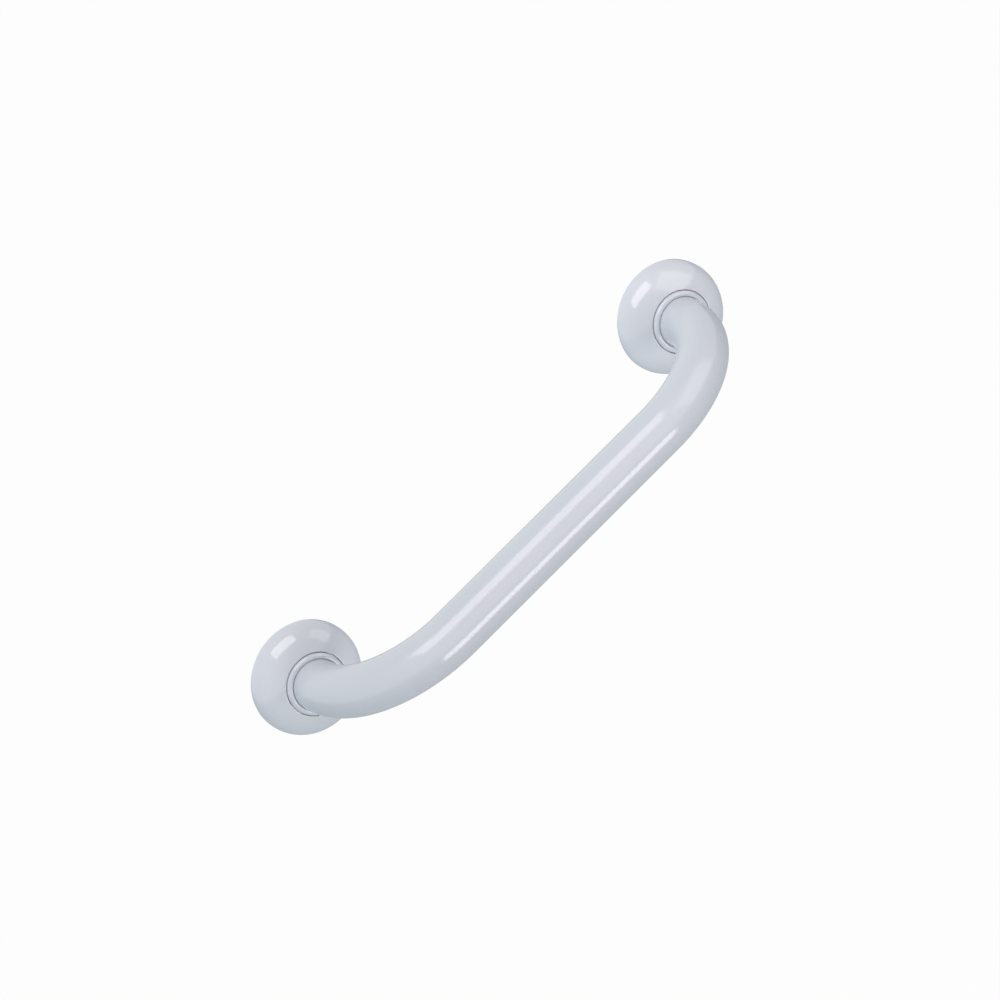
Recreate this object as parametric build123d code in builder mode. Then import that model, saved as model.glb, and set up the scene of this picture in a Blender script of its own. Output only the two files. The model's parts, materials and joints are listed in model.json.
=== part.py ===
"""Straight wall grab bar.

One bent steel tube is welded into a flange plate at each end.
A domed snap-on cover hides each plate and its screws, and a collar closes the cover's mouth round the tube.

The wall is the plane Y = 0, the front looks along -Y, X runs along the grip and Z is up.
The origin lies on the wall, midway between the two flanges.
"""

import os
from math import acos, cos, degrees, radians, sin, sqrt

from build123d import *

# Driving dimensions of the tube, in millimetres
centre_distance = 300.0  # between the axes of the two flanges
standoff = 88.4  # from the wall to the axis of the grip
tube_diameter = 30.4  # over the coating
tube_wall = 1.7  # steel and coating
stub_above_cover = 2.9  # straight tube between a cover and the start of the bend

# Driving dimensions of the covers
cover_diameter = 68.0
cover_height = 17.0  # from the wall to the edge of the mouth, before it is rounded
cover_wall = 2.0
cover_rim = 1.8  # top of the straight band at the foot of the dome, from the wall
cover_wall_gap = 0.3  # the cover stops short of the wall, so that the plate seats first
mouth_edge_radius = 0.9

# Driving dimensions of the collars
collar_width = 3.35
collar_clearance = 0.05  # round the tube
collar_mouth_gap = 0.45  # between a collar and the cover round it
collar_stand = 1.6  # the bead's crest above the edge of the mouth, before that is rounded
collar_crest_width = 0.05  # flat between the two roundings of the bead
collar_inner_radius = 1.0  # rounding of the bead towards the tube
collar_foot_overlap = 1.5  # the foot reaches this far under the cover
collar_foot_thickness = 1.5
collar_foot_gap = 0.2  # between the foot and the cover above it

# Driving dimensions of the ribs inside a cover that grip the edge of its plate
rib_count = 6
rib_depth = 1.4  # from the cover's wall inwards
rib_width = 2.4
rib_top = 6.0  # from the wall
rib_lead = 0.6  # slope that guides the cover onto the plate
rib_grip_clearance = 0.1
rib_root_depth = 0.5  # into the cover's wall

# Driving dimensions of the flange plates
plate_thickness = 3.0
plate_edge_chamfer = 0.5
weld_gap = 0.05  # between the tube and the plate's bore
weld_leg = 2.25
weld_crown_radius = 4.5
screw_count = 3
screw_hole_diameter = 6.5

# Sizes that follow
tube_radius = tube_diameter / 2
bend_radius = standoff - cover_height - stub_above_cover
cover_radius = cover_diameter / 2
cover_inner_radius = cover_radius - cover_wall
collar_bore_radius = tube_radius + collar_clearance
collar_radius = collar_bore_radius + collar_width
collar_outer_radius = collar_width - collar_crest_width - collar_inner_radius  # the bead's rounding towards the cover
collar_foot_radius = collar_radius + collar_mouth_gap + collar_foot_overlap
mouth_radius = collar_radius + collar_mouth_gap
rib_face_radius = cover_inner_radius - rib_depth
rib_root_radius = cover_inner_radius + rib_root_depth
plate_radius = rib_face_radius - rib_grip_clearance
plate_bore_radius = tube_radius + weld_gap
weld_toe_radius = plate_bore_radius + weld_leg
screw_circle_radius = (weld_toe_radius + plate_radius) / 2

# The dome's outer face is part of an ellipse that is centred on the flange axis at the top of the rim
mouth_angle = degrees(acos(mouth_radius / cover_radius))
dome_rise = (cover_height - cover_rim) / sqrt(1 - (mouth_radius / cover_radius) ** 2)
inner_dome_rise = dome_rise - cover_wall
inner_mouth_angle = degrees(acos(mouth_radius / cover_inner_radius))

# The flange on the left is on -X and the one on the right on +X
sides = {"left": -1, "right": 1}

os.makedirs("parts", exist_ok=True)


def flange_centre(side):
    """Return the point on the wall that a flange is centred on."""
    return (sides[side] * centre_distance / 2, 0, 0)


def flange_axis(side):
    """Return the axis of a flange, out of the wall."""
    return Axis(flange_centre(side), (0, -1, 0))


def wall_plane(side):
    """Return the wall's plane at a flange, with local X towards the other flange and local Z to the front."""
    return Plane(flange_centre(side), x_dir=(-sides[side], 0, 0), z_dir=(0, -1, 0))


def radial_plane(side, angle=0):
    """Return a plane through a flange's axis, with local X outwards from the axis and local Y to the front."""
    across = -sides[side] * cos(radians(angle))
    up = sin(radians(angle))
    return Plane(flange_centre(side), x_dir=(across, 0, up), z_dir=(up, 0, -across))


def inner_dome_height(radius):
    """Return how far a cover's inner face is from the wall at a distance from the flange's axis."""
    return cover_rim + inner_dome_rise * sqrt(1 - (radius / cover_inner_radius) ** 2)


def make_tube():
    """Make the tube: two short stubs out of the wall, two bends and the straight grip."""
    end = centre_distance / 2
    with BuildPart() as tube:
        with BuildLine() as route:
            FilletPolyline((-end, 0), (-end, -standoff), (end, -standoff), (end, 0), radius=bend_radius)
        with BuildSketch(Plane(route.line @ 0, z_dir=route.line % 0)):
            Circle(tube_radius)
            Circle(tube_radius - tube_wall, mode=Mode.SUBTRACT)
        sweep()
    tube.part.label = "grab_tube"
    export_step(tube.part, "parts/grab_tube.step")


def make_flange_plate(side):
    """Make a flange plate with its screw holes and the weld bead that joins it to the tube."""
    with BuildPart() as plate:
        with BuildSketch(wall_plane(side)):
            Circle(plate_radius)
            Circle(plate_bore_radius, mode=Mode.SUBTRACT)
        extrude(amount=plate_thickness)
        front_rim = plate.faces().sort_by(Axis.Y)[0].outer_wire().edges()
        chamfer(front_rim, plate_edge_chamfer)
        # One screw on the outer side, and two that flank the tube on the inner side
        with BuildSketch(wall_plane(side)):
            with PolarLocations(screw_circle_radius, screw_count, start_angle=180):
                Circle(screw_hole_diameter / 2)
        extrude(amount=plate_thickness, mode=Mode.SUBTRACT)
        with BuildSketch(radial_plane(side)):
            with BuildLine():
                Line((plate_bore_radius, plate_thickness + weld_leg), (plate_bore_radius, plate_thickness))
                Line((plate_bore_radius, plate_thickness), (weld_toe_radius, plate_thickness))
                RadiusArc(
                    (weld_toe_radius, plate_thickness),
                    (plate_bore_radius, plate_thickness + weld_leg),
                    -weld_crown_radius,
                )
            make_face()
        revolve(axis=flange_axis(side))
    plate.part.label = f"{side}_flange_plate"
    export_step(plate.part, f"parts/{side}_flange_plate.step")


def make_cover(side):
    """Make a moulded cover: an even-walled dome with a rounded mouth and grip ribs inside its rim."""
    with BuildPart() as cover:
        with BuildSketch(radial_plane(side)) as dome:
            with BuildLine():
                foot = Line((cover_inner_radius, cover_wall_gap), (cover_radius, cover_wall_gap))
                Line(foot @ 1, (cover_radius, cover_rim))
                outer = EllipticalCenterArc((0, cover_rim), cover_radius, dome_rise, arc_size=mouth_angle)
                inner = EllipticalCenterArc(
                    (0, cover_rim), cover_inner_radius, inner_dome_rise, arc_size=inner_mouth_angle
                )
                Line(outer @ 1, inner @ 1)
                Line(inner @ 0, foot @ 0)
            make_face()
            mouth_edge = dome.vertices().sort_by(Axis.Y)[-1]
            fillet(mouth_edge, mouth_edge_radius)
        revolve(axis=flange_axis(side))
        for rib in range(rib_count):
            with BuildSketch(radial_plane(side, rib * 360 / rib_count)):
                with BuildLine():
                    Polyline(
                        (rib_root_radius, cover_wall_gap),
                        (rib_face_radius + rib_lead, cover_wall_gap),
                        (rib_face_radius, cover_wall_gap + rib_lead),
                        (rib_face_radius, rib_top),
                        (rib_root_radius, rib_top),
                        close=True,
                    )
                make_face()
            extrude(amount=rib_width / 2, both=True)
    cover.part.label = f"{side}_cover"
    export_step(cover.part, f"parts/{side}_cover.step")


def make_collar(side):
    """Make a collar: a round bead that stands out of the cover's mouth and a foot that stays behind it."""
    crest_height = cover_height + collar_stand
    foot_top = inner_dome_height(collar_foot_radius) - collar_foot_gap
    foot_bottom = foot_top - collar_foot_thickness
    with BuildPart() as collar:
        with BuildSketch(radial_plane(side)) as ring:
            with BuildLine():
                Polyline(
                    (collar_bore_radius, foot_bottom),
                    (collar_foot_radius, foot_bottom),
                    (collar_foot_radius, foot_top),
                    (collar_radius, foot_top),
                    (collar_radius, crest_height),
                    (collar_bore_radius, crest_height),
                    close=True,
                )
            make_face()
            tube_edge = ring.vertices().group_by(Axis.Y)[-1].sort_by(Axis.X)[0]
            fillet(tube_edge, collar_inner_radius)
            cover_edge = ring.vertices().group_by(Axis.Y)[-1].sort_by(Axis.X)[-1]
            fillet(cover_edge, collar_outer_radius)
        revolve(axis=flange_axis(side))
    collar.part.label = f"{side}_collar"
    export_step(collar.part, f"parts/{side}_collar.step")


make_tube()
for side_name in sides:
    make_flange_plate(side_name)
    make_cover(side_name)
    make_collar(side_name)
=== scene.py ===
"""Looks of the straight grab bar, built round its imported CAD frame.

The bent tube, its two domed end covers and the collars in their mouths are modelled here as smooth meshes.
The flange plates behind the covers stay as the CAD made them and get a coated finish.
The wall is the plane Y = 0, the front looks along -Y, X runs along the grip and Z is up, in metres.
"""

import json
import logging
from collections.abc import Callable
from dataclasses import dataclass
from enum import Enum
from math import atan2, hypot, pi, radians, sqrt, tan

import bmesh
import bpy
from mathutils import Matrix, Vector

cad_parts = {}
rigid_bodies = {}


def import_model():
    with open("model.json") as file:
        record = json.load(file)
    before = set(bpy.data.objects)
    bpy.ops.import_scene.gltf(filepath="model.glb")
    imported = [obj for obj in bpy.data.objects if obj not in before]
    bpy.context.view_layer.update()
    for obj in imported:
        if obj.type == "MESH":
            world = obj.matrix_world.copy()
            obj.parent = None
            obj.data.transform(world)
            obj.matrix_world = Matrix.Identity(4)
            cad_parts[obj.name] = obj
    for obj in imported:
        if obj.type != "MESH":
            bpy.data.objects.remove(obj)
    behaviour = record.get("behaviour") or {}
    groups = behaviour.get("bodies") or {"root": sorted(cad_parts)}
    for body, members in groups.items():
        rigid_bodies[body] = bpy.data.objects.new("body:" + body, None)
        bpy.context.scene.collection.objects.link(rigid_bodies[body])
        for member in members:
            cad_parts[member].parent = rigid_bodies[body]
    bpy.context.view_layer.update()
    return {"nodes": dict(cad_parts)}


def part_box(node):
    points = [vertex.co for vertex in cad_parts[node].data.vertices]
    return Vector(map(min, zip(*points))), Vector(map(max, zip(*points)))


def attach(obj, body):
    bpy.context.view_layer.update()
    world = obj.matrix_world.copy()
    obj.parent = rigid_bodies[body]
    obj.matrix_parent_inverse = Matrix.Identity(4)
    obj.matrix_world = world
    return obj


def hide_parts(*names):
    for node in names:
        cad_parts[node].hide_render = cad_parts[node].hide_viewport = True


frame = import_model()

log = logging.getLogger("grab_bar")

MILLIMETRE = 0.001
TOUCHING = 0.01 * MILLIMETRE
MERGING = TOUCHING / 10


class Side(Enum):
    """The end of the bar that a fitting sits on, named as the CAD nodes are."""

    LEFT = "left"
    RIGHT = "right"

    def node(self, part: str) -> str:
        """Return the name of a CAD node on this side."""
        return f"{self.value}_{part}"


class Bench:
    """Plain moves in edit mode that the pieces are shaped with."""

    @staticmethod
    def start(name: str) -> bpy.types.Object:
        """Name the primitive just added, move its place into its mesh and open it for editing.

        Args:
            name: The piece's name.

        Returns:
            The piece, in edit mode with everything selected.
        """
        piece = bpy.context.active_object
        piece.name = name
        piece.data.name = name
        bpy.ops.object.transform_apply(location=True, rotation=True, scale=True)
        bpy.ops.object.mode_set(mode="EDIT")
        bpy.ops.mesh.select_all(action="SELECT")
        return piece

    @staticmethod
    def clear() -> None:
        """Deselect every object, so that the next primitive is alone."""
        bpy.ops.object.select_all(action="DESELECT")

    @staticmethod
    def pick_edges(where: Callable[[Vector, Vector], bool]) -> None:
        """Select the edges of the open piece that a test picks by their two ends.

        Args:
            where: The test, given the places of an edge's two ends.
        """
        mesh = bpy.context.edit_object.data
        bpy.ops.mesh.select_mode(type="EDGE")
        bpy.ops.mesh.select_all(action="DESELECT")
        shape = bmesh.from_edit_mesh(mesh)
        for edge in shape.edges:
            if where(edge.verts[0].co, edge.verts[1].co):
                edge.select = True
        shape.select_flush_mode()
        bmesh.update_edit_mesh(mesh)

    @staticmethod
    def pull(offset: Vector) -> None:
        """Extrude the selection by an offset."""
        bpy.ops.mesh.extrude_region_move(TRANSFORM_OT_translate={"value": offset})

    @staticmethod
    def flare(share: float, centre: Vector) -> None:
        """Extrude the selected ring in its own plane, to a share of its radius about a flange's axis."""
        bpy.ops.mesh.extrude_region_move(TRANSFORM_OT_translate={"value": (0, 0, 0)})
        bpy.ops.transform.resize(value=(share, 1, share), center_override=centre)

    @staticmethod
    def close() -> None:
        """Merge doubled points of the open piece, point its faces outwards and leave edit mode."""
        bpy.ops.mesh.select_all(action="SELECT")
        bpy.ops.mesh.remove_doubles(threshold=MERGING)
        bpy.ops.mesh.normals_make_consistent(inside=False)
        bpy.ops.object.mode_set(mode="OBJECT")

    @staticmethod
    def smooth(piece: bpy.types.Object, angle: float) -> None:
        """Shade a piece smooth over edges that turn less than an angle."""
        Bench.clear()
        piece.select_set(True)
        bpy.context.view_layer.objects.active = piece
        bpy.ops.object.shade_smooth_by_angle(angle=angle)

    @staticmethod
    def copy(piece: bpy.types.Object, name: str, offset: Vector) -> bpy.types.Object:
        """Copy a piece with a mesh of its own, moved in the mesh.

        Args:
            piece: The piece to copy.
            name: The copy's name.
            offset: How far the copy's mesh moves.

        Returns:
            The copy, at the origin as its model is.
        """
        twin = piece.copy()
        twin.data = piece.data.copy()
        twin.name = name
        twin.data.name = name
        twin.data.transform(Matrix.Translation(offset))
        bpy.context.scene.collection.objects.link(twin)
        return twin


def calculate(
    tree: bpy.types.NodeTree,
    kind: str,
    first: bpy.types.NodeSocket,
    second: bpy.types.NodeSocket | float,
) -> bpy.types.NodeSocket:
    """Return the result of a Math node on a socket and a second socket or a plain number.

    Args:
        tree: The node tree.
        kind: The Math node's operation.
        first: The first value.
        second: The second value, a socket or a number.

    Returns:
        The Math node's output socket.
    """
    node = tree.nodes.new("ShaderNodeMath")
    node.operation = kind
    tree.links.new(first, node.inputs[0])
    if isinstance(second, bpy.types.NodeSocket):
        tree.links.new(second, node.inputs[1])
    else:
        node.inputs[1].default_value = second
    return node.outputs["Value"]


class Nodes:
    """A material's node tree, with short calls for the nodes that the finishes share."""

    noise_range: tuple[float, float] = (0.3, 0.7)

    def __init__(self, name: str) -> None:
        """Make an empty material of a name, with one Principled shader at its output."""
        self.material = bpy.data.materials.new(name)
        self.material.use_nodes = True
        self.tree = self.material.node_tree
        self.tree.nodes.clear()
        self.shader = self.tree.nodes.new("ShaderNodeBsdfPrincipled")
        output = self.tree.nodes.new("ShaderNodeOutputMaterial")
        self.join(self.shader.outputs["BSDF"], output.inputs["Surface"])
        self.place = self.tree.nodes.new("ShaderNodeTexCoord").outputs["Object"]

    def join(self, source: bpy.types.NodeSocket, target: bpy.types.NodeSocket) -> None:
        """Link one socket to another."""
        self.tree.links.new(source, target)

    def noise(self, size: float, detail: float) -> bpy.types.NodeSocket:
        """Return a noise on Object coordinates whose blotches are about a size, in metres."""
        node = self.tree.nodes.new("ShaderNodeTexNoise")
        node.inputs["Scale"].default_value = 1 / size
        node.inputs["Detail"].default_value = detail
        self.join(self.place, node.inputs["Vector"])
        return node.outputs["Fac"]

    def spread(
        self,
        source: bpy.types.NodeSocket,
        low: float,
        high: float,
        span: tuple[float, float] = noise_range,
    ) -> bpy.types.NodeSocket:
        """Stretch a span of a value between two others, and hold it at them beyond the span.

        Args:
            source: The value.
            low: The result at the span's start.
            high: The result at the span's end.
            span: The span of the value, a noise's middle range unless it is given.

        Returns:
            The stretched value's socket.
        """
        node = self.tree.nodes.new("ShaderNodeMapRange")
        node.inputs["From Min"].default_value = span[0]
        node.inputs["From Max"].default_value = span[1]
        node.inputs["To Min"].default_value = low
        node.inputs["To Max"].default_value = high
        self.join(source, node.inputs["Value"])
        return node.outputs["Result"]

    def blend(
        self, share: bpy.types.NodeSocket, first: tuple[float, ...], second: tuple[float, ...]
    ) -> bpy.types.NodeSocket:
        """Return a colour between two, by a share from 0 to 1."""
        node = self.tree.nodes.new("ShaderNodeMix")
        node.data_type = "RGBA"
        node.inputs["A"].default_value = (*first, 1)
        node.inputs["B"].default_value = (*second, 1)
        self.join(share, node.inputs["Factor"])
        return node.outputs["Result"]

    def bump(self, height: bpy.types.NodeSocket, depth: float, strength: float) -> None:
        """Raise the shader's surface by a height, to a depth in metres."""
        node = self.tree.nodes.new("ShaderNodeBump")
        node.inputs["Strength"].default_value = strength
        node.inputs["Distance"].default_value = depth
        self.join(height, node.inputs["Height"])
        self.join(node.outputs["Normal"], self.shader.inputs["Normal"])


@dataclass(frozen=True)
class GlossWhite:
    """A gloss white skin: an even colour with a slow drift, and a fine ripple from how it was made."""

    name: str
    colour: tuple[float, float, float]
    drift: tuple[float, float, float]
    drift_size: float
    smoothest: float
    roughest: float
    ripple_size: float
    ripple_depth: float
    ripple_strength: float
    refraction: float = 1.65
    drift_detail: float = 3
    gloss_detail: float = 1
    ripple_detail: float = 2

    def material(self) -> bpy.types.Material:
        """Return the finish as a material."""
        nodes = Nodes(self.name)
        nodes.shader.inputs["IOR"].default_value = self.refraction
        cloud = nodes.spread(nodes.noise(self.drift_size, self.drift_detail), 0, 1)
        nodes.join(nodes.blend(cloud, self.colour, self.drift), nodes.shader.inputs["Base Color"])
        smears = nodes.noise(self.drift_size / 2, self.gloss_detail)
        gloss = nodes.spread(smears, self.smoothest, self.roughest)
        nodes.join(gloss, nodes.shader.inputs["Roughness"])
        ripple = nodes.noise(self.ripple_size, self.ripple_detail)
        nodes.bump(ripple, self.ripple_depth, self.ripple_strength)
        return nodes.material


@dataclass(frozen=True)
class BareBore:
    """The inside of the tube: drawn steel, with some of the coating blown in at the open ends."""

    name: str
    steel: tuple[float, float, float]
    coating: tuple[float, float, float]
    blown_in: float
    ragged: float
    steel_roughness: float
    coating_roughness: float
    grain_size: float
    grain_depth: float
    grain_strength: float
    ragged_detail: float = 5
    grain_detail: float = 3

    def material(self) -> bpy.types.Material:
        """Return the finish as a material."""
        nodes = Nodes(self.name)
        axes = nodes.tree.nodes.new("ShaderNodeSeparateXYZ")
        nodes.join(nodes.place, axes.inputs["Vector"])
        shift = nodes.spread(nodes.noise(self.ragged, self.ragged_detail), -self.ragged, self.ragged)
        depth = calculate(nodes.tree, "ADD", axes.outputs["Y"], shift)
        covered = nodes.spread(depth, 0, 1, (-self.blown_in, -self.ragged))
        nodes.join(nodes.blend(covered, self.steel, self.coating), nodes.shader.inputs["Base Color"])
        nodes.join(nodes.spread(covered, 1, 0, (0, 1)), nodes.shader.inputs["Metallic"])
        roughness = nodes.spread(covered, self.steel_roughness, self.coating_roughness, (0, 1))
        nodes.join(roughness, nodes.shader.inputs["Roughness"])
        nodes.bump(nodes.noise(self.grain_size, self.grain_detail), self.grain_depth, self.grain_strength)
        return nodes.material


COATING = GlossWhite(
    name="gloss_stoved_coating",
    colour=(0.70, 0.73, 0.785),
    drift=(0.685, 0.717, 0.775),
    drift_size=60 * MILLIMETRE,
    smoothest=0.145,
    roughest=0.17,
    ripple_size=2.4 * MILLIMETRE,
    ripple_depth=0.02 * MILLIMETRE,
    ripple_strength=0.03,
)

MOULDING = GlossWhite(
    name="gloss_moulded_plastic",
    colour=(0.766, 0.794, 0.848),
    drift=(0.752, 0.782, 0.839),
    drift_size=40 * MILLIMETRE,
    smoothest=0.1,
    roughest=0.125,
    ripple_size=4 * MILLIMETRE,
    ripple_depth=0.03 * MILLIMETRE,
    ripple_strength=0.08,
    refraction=1.75,
)

BORE = BareBore(
    name="drawn_steel_bore",
    steel=(0.42, 0.42, 0.41),
    coating=(0.66, 0.68, 0.72),
    blown_in=32 * MILLIMETRE,
    ragged=6 * MILLIMETRE,
    steel_roughness=0.42,
    coating_roughness=0.35,
    grain_size=0.6 * MILLIMETRE,
    grain_depth=0.05 * MILLIMETRE,
    grain_strength=0.3,
)


@dataclass
class GripTube:
    """The bent tube: two stubs out of the wall, two bends and the straight grip."""

    half_span: float
    standoff: float
    radius: float
    cover_height: float
    stub_above_cover: float = 2.9 * MILLIMETRE
    wall: float = 1.7 * MILLIMETRE
    end_rounding: float = 0.3 * MILLIMETRE
    end_segments: int = 3
    sides: int = 128
    bend_steps: int = 60
    grip_cuts: int = 15
    crease: float = radians(35)

    @classmethod
    def from_frame(cls, cover: "Cover") -> "GripTube":
        """Size the tube from its CAD node and the cover at its left end.

        Args:
            cover: The cover that the tube's stub goes through.

        Returns:
            The tube's sizes.
        """
        low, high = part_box("grab_tube")
        half_span = -cover.centre.x
        radius = high.x - half_span
        return cls(half_span, -low.y - radius, radius, cover.height)

    @property
    def stub(self) -> float:
        """The straight tube from the wall to the start of a bend."""
        return self.cover_height + self.stub_above_cover

    @property
    def bend(self) -> float:
        """The radius of a bend's centre line."""
        return self.standoff - self.stub

    def build(self) -> bpy.types.Object:
        """Draw a ring out of the wall, round both bends and back, then give it its wall.

        Returns:
            The tube's mesh object.
        """
        turn = Vector((self.half_span - self.bend, -self.stub, 0))
        Bench.clear()
        bpy.ops.mesh.primitive_circle_add(
            vertices=self.sides,
            radius=self.radius,
            location=(-self.half_span, 0, 0),
            rotation=(pi / 2, 0, 0),
        )
        piece = Bench.start("grab_tube_coated")
        Bench.pull(Vector((0, -self.stub, 0)))
        self._bend_round(Vector((-turn.x, turn.y, 0)))
        Bench.pull(Vector((2 * turn.x, 0, 0)))
        self._bend_round(turn)
        Bench.pull(Vector((0, self.stub, 0)))
        Bench.pick_edges(lambda a, b: abs(a.x - b.x) > turn.x)
        bpy.ops.mesh.subdivide(number_cuts=self.grip_cuts)
        Bench.close()
        self._thicken(piece)
        self._round_ends(piece)
        Bench.smooth(piece, self.crease)
        return piece

    def _bend_round(self, centre: Vector) -> None:
        """Spin the selected ring a quarter turn about a bend's centre."""
        bpy.ops.mesh.spin(steps=self.bend_steps, angle=pi / 2, center=centre, axis=(0, 0, -1))

    def _thicken(self, piece: bpy.types.Object) -> None:
        """Give the drawn skin its wall, inwards."""
        wall = piece.modifiers.new("wall", "SOLIDIFY")
        wall.thickness = self.wall
        wall.offset = -1
        wall.material_offset = 1
        bpy.ops.object.modifier_apply(modifier=wall.name)

    def _round_ends(self, piece: bpy.types.Object) -> None:
        """Take the sharp edge off both open ends."""
        bpy.context.view_layer.objects.active = piece
        bpy.ops.object.mode_set(mode="EDIT")
        Bench.pick_edges(lambda a, b: max(abs(a.y), abs(b.y)) < TOUCHING and not self._across_wall(a, b))
        bpy.ops.mesh.bevel(offset=self.end_rounding, segments=self.end_segments, affect="EDGES")
        bpy.ops.object.mode_set(mode="OBJECT")

    def _across_wall(self, a: Vector, b: Vector) -> bool:
        """Return whether an edge at an open end crosses the tube's wall."""
        return abs(self._from_axis(a) - self._from_axis(b)) > self.wall / 2

    def _from_axis(self, point: Vector) -> float:
        """Return how far a point of a stub is from the stub's axis."""
        return hypot(abs(point.x) - self.half_span, point.z)

    def dress(self, piece: bpy.types.Object) -> None:
        """Coat the outside, leave the bore bare and set the tube in its node's place."""
        piece.data.materials.append(COATING.material())
        piece.data.materials.append(BORE.material())
        for face in piece.data.polygons:
            face.material_index = 1 if self._in_bore(face) else 0
        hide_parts("grab_tube")
        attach(piece, "root")

    def _in_bore(self, face: bpy.types.MeshPolygon) -> bool:
        """Return whether a face looks towards the tube's own centre line."""
        centre = face.center
        end = 1 if centre.x > 0 else -1
        pivot = Vector((end * (self.half_span - self.bend), -self.stub, 0))
        if centre.y > pivot.y:
            axis = Vector((end * self.half_span, centre.y, 0))
        elif abs(centre.x) > abs(pivot.x):
            axis = pivot + self.bend * Vector((centre.x - pivot.x, centre.y - pivot.y, 0)).normalized()
        else:
            axis = Vector((centre.x, -self.standoff, 0))
        outwards = centre - axis
        return outwards.length < self.radius - self.wall / 2 and face.normal.dot(outwards) < 0


@dataclass
class Cover:
    """A moulded snap-on cover: an even-walled dome with a rounded mouth and grip ribs inside its rim."""

    centre: Vector
    radius: float
    foot: float
    rim: float = 1.8 * MILLIMETRE
    height: float = 17.0 * MILLIMETRE
    mouth: float = 19.05 * MILLIMETRE
    wall: float = 2.0 * MILLIMETRE
    mouth_rounding: float = 0.9 * MILLIMETRE
    mouth_segments: int = 6
    foot_rounding: float = 0.25 * MILLIMETRE
    foot_segments: int = 2
    rib_count: int = 6
    rib_depth: float = 1.4 * MILLIMETRE
    rib_root: float = 0.5 * MILLIMETRE
    rib_width: float = 2.4 * MILLIMETRE
    rib_top: float = 6.0 * MILLIMETRE
    rib_lead: float = 0.6 * MILLIMETRE
    sides: int = 144
    rings: int = 128
    crease: float = radians(40)

    @classmethod
    def from_frame(cls, side: Side) -> "Cover":
        """Size a cover from its CAD node.

        Args:
            side: The end of the bar.

        Returns:
            The cover's sizes, centred on the flange's axis.
        """
        low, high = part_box(side.node("cover"))
        return cls(Vector(((low.x + high.x) / 2, 0, 0)), (high.x - low.x) / 2, -high.y)

    @property
    def rise(self) -> float:
        """The outer dome's half axis along the flange's axis."""
        return (self.height - self.rim) / sqrt(1 - (self.mouth / self.radius) ** 2)

    def build(self) -> bpy.types.Object:
        """Cut two dome skins, join them at the mouth and the foot, round their edges and add the ribs.

        Returns:
            The cover's mesh object.
        """
        Bench.clear()
        self._add_sphere(self.radius, self.rise)
        piece = Bench.start("left_cover_moulded")
        self._cut_skin(self.height)
        self._add_sphere(self.radius - self.wall, self.rise - self.wall)
        self._cut_skin(self._inner_height(self.mouth))
        Bench.pick_edges(self._on_mouth)
        bpy.ops.mesh.bridge_edge_loops()
        Bench.pick_edges(lambda a, b: self._at_depth(a, b, self.rim))
        Bench.pull(Vector((0, self.rim - self.foot, 0)))
        inner = self.radius - self.wall
        Bench.pick_edges(
            lambda a, b: self._at_depth(a, b, self.foot) and self._from_axis(a) < inner + TOUCHING
        )
        Bench.flare(self.radius / inner, self.centre)
        Bench.close()
        bpy.ops.object.mode_set(mode="EDIT")
        self._round_mouth()
        bpy.ops.object.mode_set(mode="OBJECT")
        self._add_ribs(piece)
        Bench.smooth(piece, self.crease)
        return piece

    def _add_sphere(self, radius: float, rise: float) -> None:
        """Add a whole ellipsoid on the flange's axis, with its poles to the wall and to the front."""
        bpy.ops.mesh.primitive_uv_sphere_add(
            segments=self.sides,
            ring_count=self.rings,
            radius=1,
            location=self.centre + Vector((0, -self.rim, 0)),
            rotation=(pi / 2, 0, 0),
            scale=(radius, radius, rise),
        )

    def _cut_skin(self, height: float) -> None:
        """Cut the selected ellipsoid off at the top of the rim and at a height, for the mouth."""
        bpy.ops.mesh.bisect(
            plane_co=(0, -self.rim, 0), plane_no=(0, 1, 0), clear_outer=True, threshold=MERGING
        )
        bpy.ops.mesh.select_linked()
        bpy.ops.mesh.bisect(
            plane_co=(0, -height, 0), plane_no=(0, -1, 0), clear_outer=True, threshold=MERGING
        )

    def _inner_height(self, radius: float) -> float:
        """Return how far the inner dome is from the wall at a distance from the axis."""
        inner = self.radius - self.wall
        return self.rim + (self.rise - self.wall) * sqrt(1 - (radius / inner) ** 2)

    def _from_axis(self, point: Vector) -> float:
        """Return how far a point is from the flange's axis."""
        return hypot(point.x - self.centre.x, point.z - self.centre.z)

    def _on_mouth(self, a: Vector, b: Vector) -> bool:
        """Return whether an edge runs round the mouth."""
        level = abs(a.y - b.y) < TOUCHING
        return level and max(self._from_axis(a), self._from_axis(b)) < self.mouth + TOUCHING

    def _around(self, a: Vector, b: Vector) -> bool:
        """Return whether an edge runs round the flange's axis."""
        return abs(self._from_axis(a) - self._from_axis(b)) < TOUCHING

    def _at_depth(self, a: Vector, b: Vector, depth: float) -> bool:
        """Return whether an edge lies at a depth from the wall."""
        return max(abs(a.y + depth), abs(b.y + depth)) < TOUCHING

    def _round_mouth(self) -> None:
        """Round the mouth's front edge, and take the sharp edge off the foot."""
        slope = atan2(self.rise / self.radius * self.mouth, sqrt(self.radius**2 - self.mouth**2))
        setback = self.mouth_rounding / tan((pi / 2 + slope) / 2)
        Bench.pick_edges(lambda a, b: self._at_depth(a, b, self.height))
        bpy.ops.mesh.bevel(offset=setback, segments=self.mouth_segments, affect="EDGES")
        Bench.pick_edges(lambda a, b: self._at_depth(a, b, self.foot) and self._around(a, b))
        bpy.ops.mesh.bevel(offset=self.foot_rounding, segments=self.foot_segments, affect="EDGES")

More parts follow.
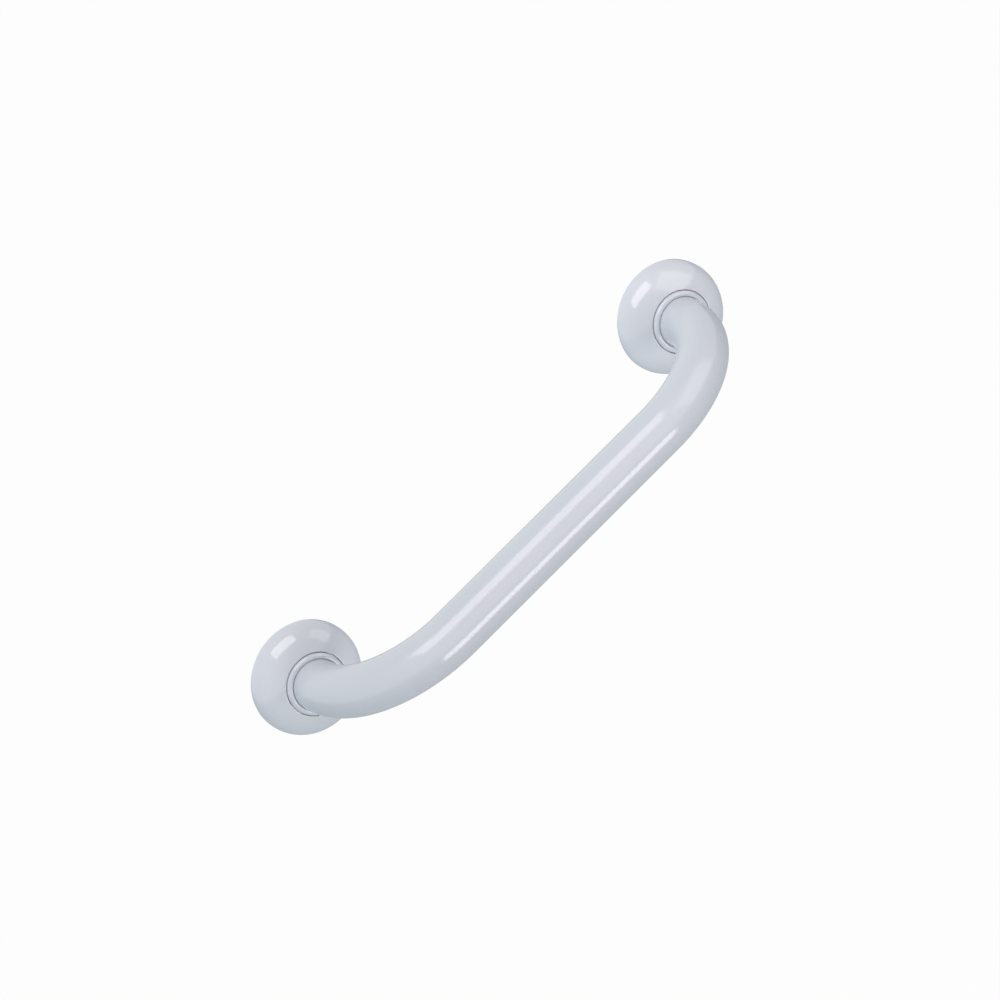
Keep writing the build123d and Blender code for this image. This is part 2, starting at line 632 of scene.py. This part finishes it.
    def _add_ribs(self, piece: bpy.types.Object) -> None:
        """Model one grip rib, copy it round the rim and join all of them to the cover."""
        face = self.radius - self.wall - self.rib_depth
        root = self.radius - self.wall + self.rib_root
        Bench.clear()
        bpy.ops.mesh.primitive_cube_add(
            size=1,
            location=self.centre + Vector(((face + root) / 2, -(self.foot + self.rib_top) / 2, 0)),
            scale=(root - face, self.rib_top - self.foot, self.rib_width),
        )
        ribs = Bench.start("grip_ribs")
        lead = self.centre.x + face + TOUCHING
        Bench.pick_edges(lambda a, b: max(a.x, b.x) < lead and self._at_depth(a, b, self.foot))
        bpy.ops.mesh.bevel(offset=self.rib_lead, segments=1, affect="EDGES")
        bpy.ops.mesh.select_all(action="SELECT")
        bpy.ops.mesh.spin(
            steps=self.rib_count,
            dupli=True,
            angle=2 * pi,
            use_auto_merge=True,
            center=self.centre,
            axis=(0, 1, 0),
        )
        Bench.close()
        union = piece.modifiers.new("ribs", "BOOLEAN")
        union.operation = "UNION"
        union.solver = "EXACT"
        union.object = ribs
        Bench.clear()
        bpy.context.view_layer.objects.active = piece
        bpy.ops.object.modifier_apply(modifier=union.name)
        bpy.data.objects.remove(ribs)

    def dress(self, piece: bpy.types.Object, side: Side) -> None:
        """Give a cover its moulded finish and set it in its node's place."""
        piece.data.materials.clear()
        piece.data.materials.append(MOULDING.material())
        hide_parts(side.node("cover"))
        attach(piece, "root")


@dataclass
class Collar:
    """The ring in a cover's mouth: a round bead against the tube and a foot that stays behind the cover."""

    centre: Vector
    tube_radius: float
    crest: float
    back: float
    foot_radius: float
    clearance: float = 0.05 * MILLIMETRE
    width: float = 3.35 * MILLIMETRE
    crest_width: float = 0.05 * MILLIMETRE
    inner_rounding: float = 1.0 * MILLIMETRE
    inner_segments: int = 6
    outer_segments: int = 10
    foot_thickness: float = 1.5 * MILLIMETRE
    foot_rounding: float = 0.25 * MILLIMETRE
    foot_segments: int = 2
    sides: int = 128
    crease: float = radians(40)

    @classmethod
    def from_frame(cls, side: Side, tube: GripTube) -> "Collar":
        """Size a collar from its CAD node and the tube that it closes on.

        Args:
            side: The end of the bar.
            tube: The tube through the collar.

        Returns:
            The collar's sizes, centred on the flange's axis.
        """
        low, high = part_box(side.node("collar"))
        centre = Vector(((low.x + high.x) / 2, 0, 0))
        return cls(centre, tube.radius, -low.y, -high.y, (high.x - low.x) / 2)

    @property
    def bore(self) -> float:
        """The radius of the collar's hole."""
        return self.tube_radius + self.clearance

    @property
    def outer_rounding(self) -> float:
        """The bead's rounding towards the cover, from what the crest and the inner one leave."""
        return self.width - self.crest_width - self.inner_rounding

    def build(self) -> bpy.types.Object:
        """Draw a ring up the tube, over the bead, down to the foot and back, then round its edges.

        Returns:
            The collar's mesh object.
        """
        outer = self.bore + self.width
        step = self.back + self.foot_thickness
        Bench.clear()
        bpy.ops.mesh.primitive_circle_add(
            vertices=self.sides,
            radius=self.bore,
            location=self.centre + Vector((0, -self.back, 0)),
            rotation=(pi / 2, 0, 0),
        )
        piece = Bench.start("left_collar_moulded")
        Bench.pull(Vector((0, self.back - self.crest, 0)))
        Bench.flare(outer / self.bore, self.centre)
        Bench.pull(Vector((0, self.crest - step, 0)))
        Bench.flare(self.foot_radius / outer, self.centre)
        Bench.pull(Vector((0, step - self.back, 0)))
        Bench.flare(self.bore / self.foot_radius, self.centre)
        Bench.close()
        bpy.ops.object.mode_set(mode="EDIT")
        self._round(self.bore, self.crest, self.inner_rounding, self.inner_segments)
        self._round(outer, self.crest, self.outer_rounding, self.outer_segments)
        self._round(self.foot_radius, step, self.foot_rounding, self.foot_segments)
        bpy.ops.object.mode_set(mode="OBJECT")
        Bench.smooth(piece, self.crease)
        return piece

    def _round(self, radius: float, depth: float, rounding: float, segments: int) -> None:
        """Round the edge of the open collar at a radius and a depth from the wall."""

        def on_edge(point: Vector) -> bool:
            """Return whether a point lies on the edge."""
            out = hypot(point.x - self.centre.x, point.z)
            return abs(out - radius) < TOUCHING and abs(point.y + depth) < TOUCHING

        Bench.pick_edges(lambda a, b: on_edge(a) and on_edge(b))
        bpy.ops.mesh.bevel(offset=rounding, segments=segments, affect="EDGES")

    def dress(self, piece: bpy.types.Object, side: Side) -> None:
        """Give a collar its moulded finish and set it in its node's place."""
        piece.data.materials.clear()
        piece.data.materials.append(MOULDING.material())
        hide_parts(side.node("collar"))
        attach(piece, "root")


@dataclass
class FlangePlate:
    """A flange plate behind a cover. Its CAD shape stays and takes the tube's coating."""

    side: Side

    def dress(self) -> bpy.types.Object:
        """Coat the CAD plate and return it."""
        plate = frame["nodes"][self.side.node("flange_plate")]
        plate.data.materials.clear()
        plate.data.materials.append(COATING.material())
        return plate


@dataclass
class PhotoCamera:
    """The camera at the photograph's viewing angle, rolled as the bar lies in the picture."""

    azimuth: float = radians(-11.14)
    elevation: float = radians(28.154)
    roll: float = radians(39.444)
    distance: float = 2.857
    lens: float = 178.06
    sensor: float = 36
    shift_x: float = 0.01181
    shift_y: float = -0.00547

    def build(self) -> None:
        """Place the camera and make it the scene's."""
        data = bpy.data.cameras.new("photo_camera")
        data.lens = self.lens
        data.sensor_width = self.sensor
        data.shift_x = self.shift_x
        data.shift_y = self.shift_y
        camera = bpy.data.objects.new("photo_camera", data)
        bpy.context.scene.collection.objects.link(camera)
        facing = Matrix.Rotation(self.azimuth, 4, "Z") @ Matrix.Rotation(pi / 2 - self.elevation, 4, "X")
        turned = facing @ Matrix.Rotation(-self.roll, 4, "Z")
        camera.matrix_world = turned @ Matrix.Translation((0, 0, self.distance))
        bpy.context.scene.camera = camera


@dataclass
class Softbox:
    """A rectangular softbox that faces a point of the bar from an angle."""

    name: str
    azimuth: float
    elevation: float
    distance: float
    width: float
    height: float
    brightness: float
    colour: tuple[float, float, float] = (1, 0.91, 0.91)
    aim: tuple[float, float, float] = (0, 0, 0)

    def build(self) -> None:
        """Hang the softbox, with the power that gives its face the brightness."""
        data = bpy.data.lights.new(self.name, "AREA")
        data.shape = "RECTANGLE"
        data.size = self.width
        data.size_y = self.height
        data.energy = self.brightness * pi * self.width * self.height
        data.color = self.colour
        lamp = bpy.data.objects.new(self.name, data)
        bpy.context.scene.collection.objects.link(lamp)
        facing = Matrix.Rotation(self.azimuth, 4, "Z") @ Matrix.Rotation(pi / 2 - self.elevation, 4, "X")
        away = Matrix.Translation((0, 0, self.distance))
        lamp.matrix_world = Matrix.Translation(self.aim) @ facing @ away


@dataclass
class Studio:
    """A plain pale floor, white surroundings and soft light.

    The camera and the gloss see the surroundings as white.
    The fill that lights the bar has an even level, a slope along each axis, and a share that grows
    towards both sides.
    """

    floor_drop: float = 0.9
    floor_size: float = 40
    floor_colour: tuple[float, float, float] = (0.68, 0.72, 0.735)
    floor_white: float = 0.97
    floor_mirrored: float = 0.1
    fill: tuple[float, float, float] = (0.932, 1.0, 1.036)
    fill_level: float = 0.241
    fill_slope: tuple[float, float, float] = (-0.35, 0.155, 0.31)
    fill_sides: float = 0.35
    softboxes: tuple[Softbox, ...] = (
        Softbox(
            "key_softbox",
            azimuth=radians(-1),
            elevation=radians(64),
            distance=0.9,
            width=0.72,
            height=0.5,
            brightness=2.5,
        ),
        Softbox(
            "low_softbox",
            azimuth=radians(2),
            elevation=radians(-20.6),
            distance=1.3,
            width=0.85,
            height=0.43,
            brightness=4.6,
        ),
        Softbox(
            "side_panel",
            azimuth=radians(60),
            elevation=radians(25),
            distance=0.35,
            width=0.3,
            height=0.3,
            brightness=0.9,
            colour=(1, 0.97, 0.98),
            aim=(0.1, -0.085, 0),
        ),
    )

    def build(self) -> None:
        """Lay the floor, set the surroundings and hang the softboxes."""
        bpy.context.scene.view_settings.view_transform = "Standard"
        self._lay_floor()
        self._surround()
        for softbox in self.softboxes:
            softbox.build()

    def _lay_floor(self) -> None:
        """Lay the floor well below the bar, as under a bar at hand height."""
        Bench.clear()
        bpy.ops.mesh.primitive_plane_add(size=self.floor_size, location=(0, 0, -self.floor_drop))
        floor = bpy.context.active_object
        floor.name = "floor"
        material = bpy.data.materials.new("pale_floor")
        material.cycles.emission_sampling = "NONE"
        material.use_nodes = True
        tree = material.node_tree
        tree.nodes.clear()
        matt = tree.nodes.new("ShaderNodeBsdfDiffuse")
        matt.inputs["Color"].default_value = (*self.floor_colour, 1)
        white = tree.nodes.new("ShaderNodeEmission")
        output = tree.nodes.new("ShaderNodeOutputMaterial")
        shown = self._show_white(tree, matt.outputs["BSDF"], white, self.floor_white, self.floor_mirrored)
        tree.links.new(shown, output.inputs["Surface"])
        floor.data.materials.append(material)

    def _surround(self) -> None:
        """Surround the bar with white as the camera and gloss see it, over a cool graded fill."""
        world = bpy.data.worlds.new("studio")
        world.use_nodes = True
        tree = world.node_tree
        tree.nodes.clear()
        fill = tree.nodes.new("ShaderNodeBackground")
        fill.inputs["Color"].default_value = (*self.fill, 1)
        towards = tree.nodes.new("ShaderNodeTexCoord").outputs["Generated"]
        along = tree.nodes.new("ShaderNodeVectorMath")
        along.operation = "DOT_PRODUCT"
        along.inputs[1].default_value = self.fill_slope
        tree.links.new(towards, along.inputs[0])
        axes = tree.nodes.new("ShaderNodeSeparateXYZ")
        tree.links.new(towards, axes.inputs["Vector"])
        aside = calculate(tree, "MULTIPLY", axes.outputs["X"], axes.outputs["X"])
        sides = calculate(tree, "MULTIPLY", aside, self.fill_sides)
        sloped = calculate(tree, "ADD", along.outputs["Value"], self.fill_level)
        level = calculate(tree, "ADD", sloped, sides)
        tree.links.new(calculate(tree, "MAXIMUM", level, 0), fill.inputs["Strength"])
        white = tree.nodes.new("ShaderNodeBackground")
        output = tree.nodes.new("ShaderNodeOutputWorld")
        shown = self._show_white(tree, fill.outputs["Background"], white, 1, 1)
        tree.links.new(shown, output.inputs["Surface"])
        bpy.context.scene.world = world

    @staticmethod
    def _show_white(
        tree: bpy.types.NodeTree,
        lit: bpy.types.NodeSocket,
        white: bpy.types.Node,
        seen: float,
        mirrored: float,
    ) -> bpy.types.NodeSocket:
        """Show white in place of a lit shader to camera, glossy and transmitted rays.

        Args:
            tree: The node tree.
            lit: The shader that all other rays meet.
            white: The node that gives the white.
            seen: How much of the white the camera sees.
            mirrored: How much of the white shows in gloss and through glass.

        Returns:
            The mixed shader's socket.
        """
        white.inputs["Color"].default_value = (1, 1, 1, 1)
        white.inputs["Strength"].default_value = 1
        path = tree.nodes.new("ShaderNodeLightPath")
        share = calculate(tree, "MULTIPLY", path.outputs["Is Camera Ray"], seen)
        for ray in ("Is Glossy Ray", "Is Transmission Ray"):
            reflected = calculate(tree, "MULTIPLY", path.outputs[ray], mirrored)
            share = calculate(tree, "MAXIMUM", share, reflected)
        mix = tree.nodes.new("ShaderNodeMixShader")
        tree.links.new(share, mix.inputs["Fac"])
        tree.links.new(lit, mix.inputs[1])
        tree.links.new(white.outputs[0], mix.inputs[2])
        return mix.outputs["Shader"]


def report(piece: bpy.types.Object) -> None:
    """Log a finished piece with its count of faces."""
    log.info("%s: %d faces", piece.name, len(piece.data.polygons))


def main() -> None:
    """Build the bar from the tube outwards, then the studio and the camera round it."""
    logging.basicConfig(level=logging.INFO, format="%(name)s %(message)s")
    cover = Cover.from_frame(Side.LEFT)
    tube = GripTube.from_frame(cover)
    bar = tube.build()
    tube.dress(bar)
    report(bar)
    across = Vector((2 * tube.half_span, 0, 0))

    collar = Collar.from_frame(Side.LEFT, tube)
    for part, model in ((cover, cover.build()), (collar, collar.build())):
        twin = Bench.copy(model, model.name.replace("left", "right"), across)
        for side, piece in ((Side.LEFT, model), (Side.RIGHT, twin)):
            part.dress(piece, side)
            report(piece)

    for side in Side:
        report(FlangePlate(side).dress())

    Studio().build()
    PhotoCamera().build()


if __name__ == "__main__":
    main()
